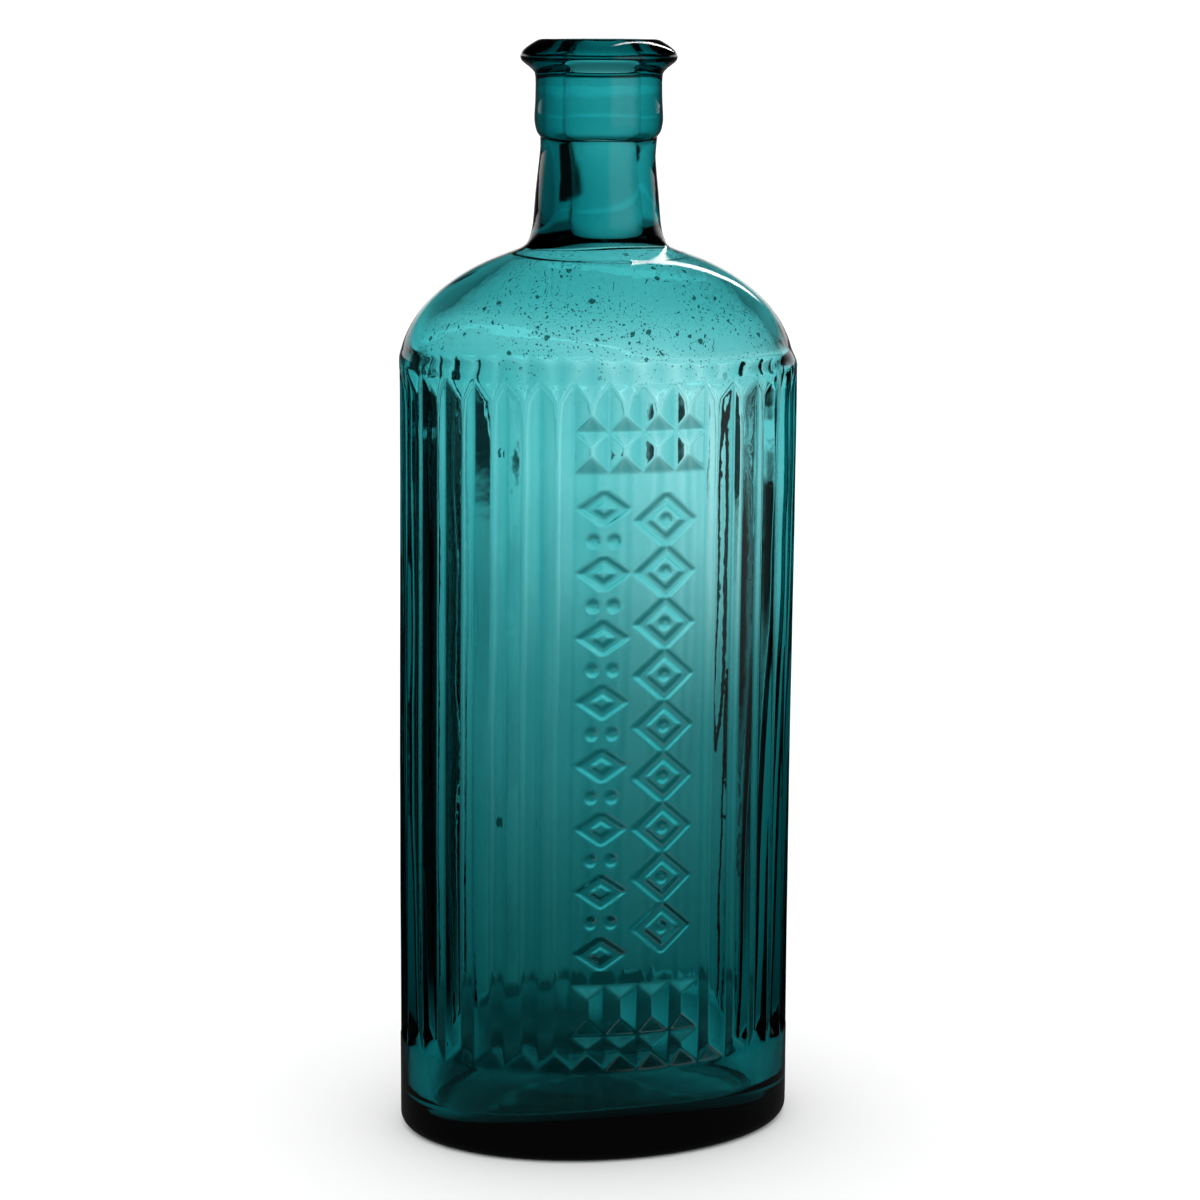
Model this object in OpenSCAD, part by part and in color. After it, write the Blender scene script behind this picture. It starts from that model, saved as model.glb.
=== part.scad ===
// Oval fluted bottle, mould-blown in glass, with a separately applied lip.
// Millimetres, +Z up. The origin is on the resting plane, at the centre of the
// oval, and the panel faces -Y.

/* [Overall] */
// Height from the resting plane to the top of the lip
height = 230; // [222:1:245]
// Width of the oval body across the ribs
body_w = 84.4; // [72:0.2:96]
// Depth of the oval body across the ribs
body_d = 66; // [56:0.2:72]

/* [Flutes and panel] */
// Number of ribs round the body, with a flute between each two
rib_count = 34; // [26:2:42]
// Depth of each flute below its ribs
flute_depth = 1.2; // [0.6:0.1:1.8]
// Height over which a flute runs out to the surface at each end
flute_run = 3.2; // [1.5:0.1:3.2]
// Height of the plain band under the flutes
band_top = 19.8; // [17:0.1:20]
// Height of the lower ridge that crosses the flutes under the panel
ridge_low = 27.5; // [27:0.1:31]
// Height of the lower edge of the plain panel
panel_low = 38.2; // [38:0.1:45]
// Height of the upper edge of the plain panel
panel_high = 144.5; // [100:0.1:145]
// Height of the upper ridge that crosses the flutes over the panel
ridge_high = 152.7; // [152:0.1:155]
// Height at which the flutes end under the shoulder
flute_top = 162.6; // [162:0.1:164]
// Number of flutes that the panel interrupts
panel_flutes = 4; // [2:2:6]

/* [Shoulder and neck] */
// How far the shoulder stands in from the ribs
shoulder_step = 1.3; // [0.6:0.1:2]
// Height that the shoulder's dome would need to close
dome_h = 27; // [26:0.5:30]
// Radius of the neck where it leaves the shoulder
neck_root_r = 13.3; // [13:0.1:14.5]
// Radius of the neck under the applied lip
neck_r = 12; // [11:0.1:12.5]

/* [Lip] */
// Height of the applied lip, from its seam on the neck to its top
lip_h = 20; // [18:0.5:22]
// Radius of the lip's collar
collar_r = 13.2; // [13:0.1:14]
// Largest radius of the ring round the mouth
ring_r = 16.2; // [15.5:0.1:18]
// Radius of the bore, which takes a cork
bore_r = 7.75; // [6:0.05:9]

/* [Glass] */
// Thickness of the upper body wall behind a flute
wall = 2.6; // [2:0.1:4]
// Thickness of the body wall behind a flute, just above the floor
foot_wall = 4.6; // [2:0.1:6]
// Thickness of the base
base_t = 9; // [6:0.5:12]
// Radius of the heel between the body and its base
heel_r = 2.5; // [1.5:0.1:4]
// Height of the hollow under the base
kick_up = 1.5; // [0.5:0.1:3]

/* [Hidden] */
glass = [0.13, 0.55, 0.57];
lip_glass = [0.10, 0.47, 0.50];

half_w = body_w / 2;
half_d = body_d / 2;
columns = 2 * rib_count;
seam_z = height - lip_h;
root_z = flute_top + 29.5;
neck_slim_z = seam_z - 4;
mouth_round = 1;

// An oval's equal steps of angle are not equal steps along it. This swing turns
// one into the other, closely enough for an oval as round as this one.
roundness = (half_w * half_w - half_d * half_d) / (half_w * half_w + half_d * half_d);
swing = roundness / 4 * 180 / PI;
function oval_angle(u, steps = 4) =
    steps == 0 ? u : u + swing * sin(2 * oval_angle(u, steps - 1));

// Even columns stand on ribs and odd ones in flutes. Column 0 is the rib at the
// middle of the front.
column_angle = [for (j = [0:columns - 1]) oval_angle(-90 + 360 * j / columns)];
function is_flute(j) = j % 2 == 1;
function in_panel(j) = min(j, columns - j) < panel_flutes;

// A point of an oval ring, moved inwards along the oval's own normal.
function oval_point(a, b, t, inset) =
    let (n = [b * cos(t), a * sin(t)])
    [a * cos(t), b * sin(t)] - inset * n / norm(n);

// A ring is [z, half width, half depth, flute depth, flute depth at the panel].
function ring_points(ring) = [
    for (j = [0:columns - 1])
        let (inset = !is_flute(j) ? 0 : in_panel(j) ? ring[4] : ring[3])
        let (p = oval_point(ring[1], ring[2], column_angle[j], inset))
        [p[0], p[1], ring[0]]
];
function plain(z, a, b) = [z, a, b, 0, 0];
function inset_ring(z, inset) = plain(z, half_w - inset, half_d - inset);

// The body's outside, from the hollow under the base to the shoulder.
rest_inset = heel_r + 4;
base_rings = [
    inset_ring(kick_up, rest_inset + 6),
    inset_ring(0, rest_inset),
    for (a = [0:30:90]) inset_ring(heel_r * (1 - cos(a)), heel_r * (1 - sin(a)))
];
function fluted(z, side, front) = [z, half_w, half_d, side * flute_depth, front * flute_depth];
fluted_rings = [
    fluted(band_top, 0, 0),
    fluted(band_top + flute_run, 1, 1),
    fluted(ridge_low - flute_run, 1, 1),
    fluted(ridge_low, 1, 0),
    fluted(ridge_low + flute_run, 1, 1),
    fluted(panel_low - flute_run, 1, 1),
    fluted(panel_low, 1, 0),
    fluted(panel_high, 1, 0),
    fluted(panel_high + flute_run, 1, 1),
    fluted(ridge_high - flute_run, 1, 1),
    fluted(ridge_high, 1, 0),
    fluted(ridge_high + flute_run, 1, 1),
    fluted(flute_top - flute_run, 1, 1),
    fluted(flute_top, 0, 0)
];

// The shoulder is a dome that narrows from the oval to the round neck.
shoulder_w = half_w - shoulder_step;
shoulder_d = half_d - shoulder_step;
dome_pull = 46;
function blend(t) = [neck_root_r + t * (shoulder_w - neck_root_r),
                     neck_root_r + t * (shoulder_d - neck_root_r)];
function dome_share(rise) =
    1 - dome_pull / (shoulder_w - neck_root_r) * (1 - sqrt(1 - pow(rise / dome_h, 2)));
function dome_ring(z, rise, thin) =
    let (half = blend(dome_share(rise)))
    plain(z, half[0] - thin, half[1] - thin);
dome_rises = [1.2, 5, 9, 13, 16, 18.5, 20.5, 22.3, 24];
shoulder_rings = [for (rise = dome_rises) dome_ring(flute_top + rise, rise, 0)];

function round_ring(z, r) = plain(z, r, r);
neck_rings = [
    round_ring(flute_top + 25.4, neck_root_r + 1.5),
    round_ring(flute_top + 27, neck_root_r + 0.6),
    round_ring(root_z, neck_root_r),
    round_ring(neck_slim_z, neck_r),
    round_ring(seam_z, neck_r)
];

// The cavity, from the bore at the top of the neck down to the base. Its walls
// thicken downwards, because the glass sank while it was soft.
cavity_w = half_w - flute_depth - wall;
cavity_d = half_d - flute_depth - wall;
sink = foot_wall - wall;
floor_round = 5;
cavity_rings = [
    round_ring(seam_z, bore_r),
    round_ring(root_z, bore_r),
    round_ring(flute_top + 24.5, bore_r + 1.5),
    for (rise = [21.2, 18.6, 15.6, 12, 7, 1]) dome_ring(flute_top + rise - 1.4, rise, wall),
    plain(flute_top - 6, cavity_w, cavity_d),
    for (a = [0:30:90])
        plain(base_t + floor_round * (1 - sin(a)),
              cavity_w - sink - floor_round * (1 - cos(a)),
              cavity_d - sink - floor_round * (1 - cos(a)))
];

rings = concat(base_rings, fluted_rings, shoulder_rings, neck_rings, cavity_rings);
under_centre = [0, 0, kick_up];
floor_centre = [0, 0, base_t];

function corner(i, j) = i * columns + j % columns;
// A flute that ends between two rings is split from the rib on the ring where
// the flute has run out, so that each end is one flat triangle.
function flute_end(i, j) =
    let (k = is_flute(j) ? j : j + 1)
    let (level = in_panel(k % columns) ? 4 : 3)
    rings[i + 1][level] < rings[i][level] ? 1 : 0;
function patch(i, j) =
    let (low_l = corner(i, j), low_r = corner(i, j + 1))
    let (top_l = corner(i + 1, j), top_r = corner(i + 1, j + 1))
    (flute_end(i, j) == 0) != is_flute(j)
        ? [[low_l, top_r, low_r], [low_l, top_l, top_r]]
        : [[low_l, top_l, low_r], [low_r, top_l, top_r]];

module bottle_body() {
    points = concat([for (ring = rings) each ring_points(ring)], [under_centre, floor_centre]);
    last = len(rings) - 1;
    under = len(points) - 2;
    floor = len(points) - 1;
    sides = [for (i = [0:last - 1]) for (j = [0:columns - 1]) each patch(i, j)];
    base = [for (j = [0:columns - 1]) [under, corner(0, j), corner(0, j + 1)]];
    inside = [for (j = [0:columns - 1]) [floor, corner(last, j + 1), corner(last, j)]];
    color(glass) polyhedron(points = points, faces = concat(base, sides, inside));
}

// The lip's outline, from the seam on the neck up round the ring and down the bore.
ring_low_z = height - 6.9;
nose_z = height - 3.6;
nose_round = 1.7;
crown_r = collar_r - 0.9;
function arc(x, z, r, from, to, steps) =
    [for (k = [0:steps]) let (a = from + (to - from) * k / steps) [x + r * cos(a), z + r * sin(a)]];
lip_outline = concat(
    [[neck_r, seam_z], [neck_r + 0.6, seam_z + 1], [collar_r - 0.2, seam_z + 2.2]],
    [[collar_r + 0.1, seam_z + 4], [collar_r - 0.1, seam_z + 8], [collar_r, ring_low_z]],
    arc(ring_r - nose_round, nose_z, nose_round, -50, 60, 8),
    [[crown_r + 0.9, height - 0.35], [crown_r, height]],
    [[bore_r + mouth_round, height], [bore_r, height - mouth_round], [bore_r, seam_z]]
);

module applied_lip() {
    color(lip_glass) rotate_extrude($fn = 96) polygon(lip_outline);
}

bottle_body();
applied_lip();
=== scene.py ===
"""Oval fluted glass bottle with a separately applied lip, and the studio it stands in."""

import math
from typing import NamedTuple

import bpy
from bpy.props import FloatProperty, FloatVectorProperty, IntProperty, PointerProperty
from mathutils import Matrix, Vector


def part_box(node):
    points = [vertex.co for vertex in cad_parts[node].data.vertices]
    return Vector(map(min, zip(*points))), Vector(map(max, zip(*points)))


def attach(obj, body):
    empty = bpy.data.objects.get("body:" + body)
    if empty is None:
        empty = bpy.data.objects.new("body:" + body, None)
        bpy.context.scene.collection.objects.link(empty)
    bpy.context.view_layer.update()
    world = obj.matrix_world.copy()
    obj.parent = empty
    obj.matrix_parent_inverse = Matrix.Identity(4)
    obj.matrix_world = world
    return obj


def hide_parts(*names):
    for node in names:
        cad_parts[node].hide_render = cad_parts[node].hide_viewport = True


bl_info = {
    "name": "Fluted glass bottle",
    "version": (1, 0, 0),
    "blender": (4, 5, 0),
    "location": "3D View > Sidebar > Bottle",
    "description": "Builds a blown oval bottle with flutes, an ornamented panel and an applied lip",
    "category": "Add Mesh",
}

MM = 0.001

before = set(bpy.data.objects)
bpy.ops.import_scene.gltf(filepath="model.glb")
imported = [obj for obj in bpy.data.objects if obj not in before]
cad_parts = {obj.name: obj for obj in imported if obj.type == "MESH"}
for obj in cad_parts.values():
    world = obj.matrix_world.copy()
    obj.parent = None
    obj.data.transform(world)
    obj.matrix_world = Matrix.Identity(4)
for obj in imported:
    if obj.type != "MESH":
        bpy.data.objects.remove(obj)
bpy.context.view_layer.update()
body_low, body_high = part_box("bottle_body")
lip_low, lip_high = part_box("applied_lip")
HALF_W = body_high.x
HALF_D = body_high.y
SEAM_Z = body_high.z
TOP_Z = lip_high.z
# An oval this flat is a little shorter round than a circle of its root-mean-square radius.
GIRTH = 0.9965 * math.tau * math.sqrt((HALF_W**2 + HALF_D**2) / 2)


def millimetres(name, description, default):
    """A length property whose default is given in millimetres."""
    return FloatProperty(
        name=name, description=description, default=default * MM, unit="LENGTH", precision=5
    )


class FluteSizes(bpy.types.PropertyGroup):
    """Ribs, flutes and the plain panel between them."""

    ribs: IntProperty(name="Ribs", description="Ribs round the oval body", default=34, min=8)
    depth: millimetres("Flute depth", "Depth of a flute below its ribs", 1.2)
    run: millimetres("Run-out", "Height over which a flute runs out at each end", 3.2)
    band_top: millimetres("Band top", "Height of the plain band under the flutes", 19.8)
    ridge_low: millimetres("Lower ridge", "Height of the ridge across the flutes under the panel", 27.5)
    panel_low: millimetres("Panel foot", "Height of the lower edge of the plain panel", 38.2)
    panel_high: millimetres("Panel head", "Height of the upper edge of the plain panel", 144.5)
    ridge_high: millimetres("Upper ridge", "Height of the ridge across the flutes over the panel", 152.7)
    top: millimetres("Flute top", "Height at which the flutes end under the shoulder", 162.6)
    panel_half: FloatProperty(
        name="Panel half width", description="Half the panel's width, in ribs", default=2.0
    )
    top_slope: FloatProperty(
        name="Top slope",
        description="Slope of the flutes' upper ends, as a share of the slope of the lower ends",
        default=0.65,
    )
    softness: FloatProperty(
        name="Edge softness",
        description="Rounding of crests and valleys, as a share of the depth",
        default=0.16,
    )


class OrnamentSizes(bpy.types.PropertyGroup):
    """Two upright rows of raised lozenges and beads on the panel."""

    relief: millimetres("Relief", "Height of the ornament above the panel", 0.5)
    stroke: millimetres("Stroke", "Width of a raised line", 1.8)
    soft: millimetres("Stroke edge", "Width of the slope beside a raised line", 1.0)
    large_across: millimetres("Large row place", "How far right of the middle the large row is", 5.0)
    large_foot: millimetres("Large row foot", "Height at which the large row starts", 44.6)
    large_pitch: millimetres("Large pitch", "Height of one large lozenge with its gap", 10.6)
    large_count: IntProperty(name="Large count", description="Lozenges in the large row", default=9)
    large_half_w: millimetres("Large half width", "Half the width of a large lozenge", 5.0)
    large_half_h: millimetres("Large half height", "Half the height of a large lozenge", 4.4)
    small_across: millimetres("Small row place", "How far right of the middle the small row is", -7.9)
    small_foot: millimetres("Small row foot", "Height at which the small row starts", 41.6)
    small_pitch: millimetres("Small pitch", "Height of one unit of the small row", 6.6)
    small_count: IntProperty(name="Small count", description="Units in the small row", default=15)
    small_half_w: millimetres("Small half width", "Half the width of a small lozenge", 3.6)
    small_half_h: millimetres("Small half height", "Half the height of a small lozenge", 2.5)
    bead: millimetres("Bead radius", "Radius of a round bead", 1.1)
    bead_apart: millimetres("Bead spread", "Distance of a paired bead from the row's middle", 2.1)


class WallSizes(bpy.types.PropertyGroup):
    """Glass thickness, base, shoulder, neck and lip."""

    wall: millimetres("Wall", "Thickness of the wall behind a flute", 2.3)
    shoulder_more: millimetres("Shoulder more", "Extra thickness of the wall at the shoulder's top", 1.3)
    foot_wall: millimetres("Foot wall", "Thickness of the wall behind a flute, at the floor", 4.6)
    thin: millimetres("Thin side", "How much thinner the front and back are on the right", 1.3)
    base: millimetres("Base", "Thickness of the base in the middle", 7.5)
    base_dip: millimetres("Base dip", "How much lower the floor would lie at the very ends", 6.0)
    base_sweep: millimetres("Base sweep", "Height over which the inside comes to follow that dip", 14.0)
    heel: millimetres("Heel", "Radius of the edge between body and base", 2.5)
    kick: millimetres("Kick", "Height of the hollow under the base", 1.5)
    floor_round: millimetres("Floor round", "Radius between the wall and the floor inside", 5.0)
    shoulder_step: millimetres("Shoulder step", "How far the shoulder stands in at each side", 0.5)
    face_step: millimetres("Face step", "How far the shoulder stands in at front and back", 0.3)
    step_height: millimetres("Step height", "Height over which the ribs fade into the shoulder", 4.2)
    dome: millimetres("Dome", "Height that the shoulder's dome would need to close", 27.2)
    dome_reach: millimetres("Dome reach", "How far in the dome would then reach from each side", 46.0)
    neck_root: millimetres("Neck root", "Radius of the neck where it leaves the shoulder", 13.3)
    neck: millimetres("Neck", "Radius of the neck under the lip", 12.0)
    ring_proud: millimetres("Ring proud", "How far the mouth's ring stands out from the collar", 3.0)
    bore: millimetres("Bore", "Radius of the bore at the mouth", 7.75)
    neck_bore: millimetres("Neck bore", "Radius of the bore in the neck, under the lip", 6.9)
    outer_wave: millimetres("Outer waves", "Height of the slow waves of the outside", 0.07)
    inner_wave: millimetres("Inner waves", "Height of the slow waves inside the body", 0.28)
    lip_wave: millimetres("Lip waves", "Height of the slow waves inside the lip", 0.07)
    inner_ripple: millimetres("Inner ripple", "How far the inside follows the flutes", 0.1)


class GlassLook(bpy.types.PropertyGroup):
    """Colour and surface of the glass."""

    tint: FloatVectorProperty(
        name="Tint",
        description="Light that the glass lets through",
        subtype="COLOR",
        default=(0.0, 0.684, 0.698),
    )
    density: FloatProperty(
        name="Density", description="Strength of the tint, for each metre of glass", default=434.0
    )
    bend: FloatProperty(
        name="Refraction", description="Index of refraction of the glass", default=1.52
    )
    speck_tint: FloatVectorProperty(
        name="Residue",
        description="Colour of the dry residue inside",
        subtype="COLOR",
        default=(0.02, 0.05, 0.05),
    )


def degrees(name, description, default):
    """An angle property whose default is given in degrees."""
    return FloatProperty(
        name=name, description=description, default=math.radians(default), subtype="ANGLE"
    )


class StudioSizes(bpy.types.PropertyGroup):
    """The camera's place and lens, and the room's light."""

    distance: millimetres("Camera distance", "Level distance from the bottle's axis", 698.6)
    height: millimetres("Camera height", "Height of the camera", 235.6)
    turn: degrees("Turn", "How far round the bottle the camera stands, leftwards if negative", -15.5)
    tilt: degrees("Tilt", "Downward tilt of the camera", 9.96)
    roll: degrees("Roll", "Roll of the camera", 0.28)
    lens: FloatProperty(
        name="Lens", description="Focal length for a 36 mm wide sensor, in mm", default=100.59
    )
    shift: FloatProperty(name="Shift", description="Sideways lens shift", default=0.003)
    room: FloatProperty(name="Room", description="Brightness of the white room", default=1.3)


class BottleSettings(bpy.types.PropertyGroup):
    """Everything about the bottle that a user may change."""

    flutes: PointerProperty(type=FluteSizes)
    ornament: PointerProperty(type=OrnamentSizes)
    walls: PointerProperty(type=WallSizes)
    glass: PointerProperty(type=GlassLook)
    studio: PointerProperty(type=StudioSizes)


def settings():
    """The settings of the current scene."""
    return bpy.context.scene.bottle


# ---------------------------------------------------------------- node trees


class Bench:
    """Puts nodes into one tree and joins them."""

    def __init__(self, tree):
        self.tree = tree

    def feed(self, socket, value):
        """Links a socket to value if that is an output, or else sets it."""
        if isinstance(value, bpy.types.NodeSocket):
            self.tree.links.new(value, socket)
        else:
            socket.default_value = value

    def put(self, kind, sockets=None, **choices):
        """A new node with its choices made and its sockets fed."""
        made = self.tree.nodes.new(kind)
        for name, value in choices.items():
            setattr(made, name, value)
        for key, value in (sockets or {}).items():
            self.feed(made.inputs[key], value)
        return made

    def math(self, operation, *values):
        """The result of one Math node."""
        made = self.put("ShaderNodeMath", dict(enumerate(values)), operation=operation)
        return made.outputs[0]

    def ramp(self, value, start, end, low=0.0, high=1.0):
        """A smooth step from low at start to high at end."""
        sockets = {"Value": value, "From Min": start, "From Max": end, "To Min": low, "To Max": high}
        return self.put("ShaderNodeMapRange", sockets, interpolation_type="SMOOTHSTEP").outputs[0]

    def noise(self, place, scale, detail):
        """Soft noise with so many waves to the metre, around 0.5."""
        sockets = {"Vector": place, "Scale": scale, "Detail": detail}
        return self.put("ShaderNodeTexNoise", sockets).outputs[0]


class ShapeTree(Bench):
    """A Geometry Nodes tree with one geometry input, named sizes and one geometry output."""

    def __init__(self, name):
        super().__init__(bpy.data.node_groups.new(name, "GeometryNodeTree"))
        self.sizes = {}
        self.tree.interface.new_socket("Geometry", in_out="INPUT", socket_type="NodeSocketGeometry")
        self.tree.interface.new_socket("Geometry", in_out="OUTPUT", socket_type="NodeSocketGeometry")
        self.start = self.put("NodeGroupInput")

    def size(self, name, value):
        """A named number that the modifier sets."""
        kind = "NodeSocketInt" if isinstance(value, int) else "NodeSocketFloat"
        socket = self.tree.interface.new_socket(name, in_out="INPUT", socket_type=kind)
        self.sizes[socket.identifier] = value
        return self.start.outputs[name]

    def attribute(self, name):
        """The value of a named attribute of the mesh."""
        return self.put("GeometryNodeInputNamedAttribute", {"Name": name}, data_type="FLOAT").outputs[0]

    def level(self):
        """The height of each corner."""
        place = self.put("GeometryNodeInputPosition").outputs[0]
        return self.put("ShaderNodeSeparateXYZ", {0: place}).outputs["Z"]

    def finish(self, geometry, material):
        """Realizes what is left of instances and gives the material."""
        real = self.put("GeometryNodeRealizeInstances", {0: geometry}).outputs[0]
        done = self.put("GeometryNodeSetMaterial", {"Geometry": real, "Material": material}).outputs[0]
        self.put("NodeGroupOutput", {0: done})

    def applied_to(self, blank):
        """A plain mesh object made by running the tree over blank, which is then removed."""
        modifier = blank.modifiers.new("shape", "NODES")
        modifier.node_group = self.tree
        for identifier, value in self.sizes.items():
            modifier[identifier] = value
        seen = blank.evaluated_get(bpy.context.evaluated_depsgraph_get())
        mesh = bpy.data.meshes.new_from_object(seen)
        name = blank.name
        bpy.data.objects.remove(blank)
        mesh.name = name
        made = bpy.data.objects.new(name, mesh)
        bpy.context.scene.collection.objects.link(made)
        return made

    def pushed_out(self, blank, distance, material):
        """The plain mesh of blank with each corner moved so far along its normal."""
        normal = self.put("GeometryNodeInputNormal").outputs[0]
        scaling = {0: normal, "Scale": distance}
        offset = self.put("ShaderNodeVectorMath", scaling, operation="SCALE").outputs[0]
        sockets = {"Geometry": self.start.outputs["Geometry"], "Offset": offset}
        moved = self.put("GeometryNodeSetPosition", sockets).outputs[0]
        self.finish(moved, material)
        return self.applied_to(blank)


# ---------------------------------------------------------------- outlines


def smooth_step(start, end, value):
    """0 before start, 1 past end and an even S between. The start may be the higher of the two."""
    share = min(1.0, max(0.0, (value - start) / (end - start)))
    return share * share * (3.0 - 2.0 * share)


def along(points, value):
    """Reads a curve given as (place, amount) points, with an even S between each two."""
    for (start, low), (end, high) in zip(points, points[1:]):
        if value <= end:
            return low + (high - low) * smooth_step(start, end, value)
    return points[-1][1]


def smooth_path(points, steps):
    """A smooth line through points, with so many steps between each two."""
    points = [Vector(point) for point in points]
    ends = [2 * points[0] - points[1], *points, 2 * points[-1] - points[-2]]
    path = []
    for before, here, there, after in zip(ends, ends[1:], ends[2:], ends[3:]):
        pull_here = (there - before) / 2
        pull_there = (after - here) / 2
        for step in range(steps):
            t = step / steps
            path.append(
                (2 * t**3 - 3 * t**2 + 1) * here
                + (t**3 - 2 * t**2 + t) * pull_here
                + (3 * t**2 - 2 * t**3) * there
                + (t**3 - t**2) * pull_there
            )
    return path + [points[-1]]


def oval_angle(rib, ribs):
    """The oval's own angle at a place counted in ribs, which are even steps along it.

    Rib 0 is the middle of the front. The short loop closes in on the angle."""
    even = math.tau * rib / ribs - math.pi / 2
    flatness = (HALF_W**2 - HALF_D**2) / (HALF_W**2 + HALF_D**2)
    angle = even
    for _ in range(6):
        angle = even + flatness / 4 * math.sin(2 * angle)
    return angle


def outer_lean(z, sizes):
    """How far the outside leans to +X at a height, since the shoulder came out of the mould askew."""
    top = sizes.flutes.top
    points = (
        (60 * MM, 0.0),
        (top - 6 * MM, 0.45 * MM),
        (top, 0.4 * MM),
        (top + 3.6 * MM, -0.1 * MM),
        (top + 18 * MM, -0.25 * MM),
        (top + 28 * MM, -0.3 * MM),
        (SEAM_Z - 6 * MM, -0.3 * MM),
        (SEAM_Z, 0.0),
    )
    return along(points, z)


def bore_lean(z, sizes):
    """How far the bore leans to +X at a height."""
    top = sizes.flutes.top
    points = (
        (70 * MM, 0.0),
        (120 * MM, 1.0 * MM),
        (top - 2 * MM, 1.0 * MM),
        (top + 12 * MM, -0.2 * MM),
        (top + 26 * MM, 1.2 * MM),
        (SEAM_Z, 0.5 * MM),
        (TOP_Z, 0.5 * MM),
    )
    return along(points, z)


def thin_share(z, x):
    """How fully the wall is thinned, from 0 to 1: the glass settled low and to the left when blown."""
    high_up = smooth_step(75 * MM, 110 * MM, z) * (1 - smooth_step(158 * MM, 172 * MM, z))
    return high_up * smooth_step(-12 * MM, 14 * MM, x)


def seam_dip(angle):
    """Height of the ragged seam between neck and lip above its mean, at an angle round the neck.

    Each wave is (waves to a turn, height in mm, start in radians)."""
    waves = ((1, 0.16, 0.4), (2, 0.2, 2.0), (3, 0.12, 1.1), (5, 0.1, 4.0), (9, 0.04, 0.5))
    return MM * sum(height * math.sin(count * angle + start) for count, height, start in waves)


def dome_halves(rise, walls):
    """Half width and half depth of the shoulder's dome, an elliptic arc, at a rise above the flutes."""
    half_w = HALF_W - walls.shoulder_step
    half_d = HALF_D - walls.face_step
    pull = walls.dome_reach / (half_w - walls.neck_root)
    share = 1 - pull * (1 - math.sqrt(1 - (rise / walls.dome) ** 2))
    return tuple(walls.neck_root + share * (half - walls.neck_root) for half in (half_w, half_d))


def shoulder_path(sizes):
    """(z, half width, half depth) up the dome and the neck, from just over the flutes to the seam."""
    walls = sizes.walls
    top = sizes.flutes.top
    rises = (walls.step_height / MM, 6, 9, 12, 14.5, 17, 19, 20.8, 22.3, 23.5)
    dome = [(top + rise * MM, *dome_halves(rise * MM, walls)) for rise in rises]
    neck = [
        (top + 24.8 * MM, walls.neck_root + 2.1 * MM),
        (top + 26.4 * MM, walls.neck_root + 0.8 * MM),
        (top + 29.5 * MM, walls.neck_root),
        (top + 36 * MM, walls.neck + 0.75 * MM),
        (SEAM_Z - 4 * MM, walls.neck),
        (SEAM_Z - 0.6 * MM, walls.neck + 0.05 * MM),
        (SEAM_Z, walls.neck + 0.15 * MM),
    ]
    return smooth_path(dome + [(z, r, r) for z, r in neck], 2)


def cavity_path(sizes):
    """(z, half width, half depth) of the inside, from the seam down to the middle of the floor.

    The wall grows thicker from the shaft's top down to the floor, and up to the shoulder's top.
    The dome inside lies lower than the one outside by dome_drop, and the floor rises to its middle."""
    walls = sizes.walls
    top = sizes.flutes.top
    wall = walls.wall
    shaft_top = top - 14 * MM
    dome_drop = 1.2 * MM
    floor_rise = 1.2 * MM
    inner_w = HALF_W - sizes.flutes.depth - wall
    inner_d = HALF_D - sizes.flutes.depth - wall
    bore = [
        (SEAM_Z, walls.bore),
        (SEAM_Z - 1.5 * MM, walls.bore - 0.5 * MM),
        (SEAM_Z - 5 * MM, walls.neck_bore),
        (top + 36 * MM, walls.neck_bore),
        (top + 31 * MM, walls.neck_bore + 0.4 * MM),
        (top + 28.6 * MM, walls.neck_bore + 1.3 * MM),
        (top + 26.8 * MM, walls.neck_bore + 2.6 * MM),
        (top + 25.4 * MM, walls.neck_bore + 4.4 * MM),
    ]
    neck = [(z, radius, radius) for z, radius in bore]
    dome = []
    for rise in (23.1, 22.2, 20.6, 18.4, 15.6, 12, 7.5, 3):
        half_w, half_d = dome_halves(rise * MM, walls)
        thick = wall + walls.shoulder_more * smooth_step(9, 21, rise)
        dome.append((top + rise * MM - dome_drop, half_w - thick, half_d - thick))
    side = [(z, inner_w, inner_d) for z in (top - 6 * MM, shaft_top)]
    shaft = smooth_path(neck + dome + side, 4)
    low = walls.base + walls.floor_round
    sink = walls.foot_wall - wall
    rows = 24
    for row in range(1, rows + 1):
        share = row / rows
        inset = sink * share**1.3
        z = shaft_top + (low - shaft_top) * share
        shaft.append((z, inner_w - inset, inner_d - inset))
    inner_w -= sink
    inner_d -= sink
    for step in range(1, 7):
        angle = math.pi / 2 * step / 6
        inset = walls.floor_round * (1 - math.cos(angle))
        shaft.append((low - walls.floor_round * math.sin(angle), inner_w - inset, inner_d - inset))
    z, half_w, half_d = shaft[-1]
    for share in (0.85, 0.7, 0.55, 0.4, 0.25, 0.12, 0.04):
        shaft.append((z + floor_rise * (1 - share) ** 2, half_w * share, half_d * share))
    return shaft


# ---------------------------------------------------------------- meshes


def join_columns(left, right):
    """Faces between two columns of (key, corner), whose keys rise but need not match."""
    faces = []
    a = b = 0
    while a < len(left) - 1 or b < len(right) - 1:
        next_a = left[a + 1][0] if a < len(left) - 1 else math.inf
        next_b = right[b + 1][0] if b < len(right) - 1 else math.inf
        if abs(next_a - next_b) < 1e-9:
            faces.append((left[a][1], right[b][1], right[b + 1][1], left[a + 1][1]))
            a += 1
            b += 1
        elif next_a < next_b:
            faces.append((left[a][1], right[b][1], left[a + 1][1]))
            a += 1
        else:
            faces.append((left[a][1], right[b][1], right[b + 1][1]))
            b += 1
    return faces


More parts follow.
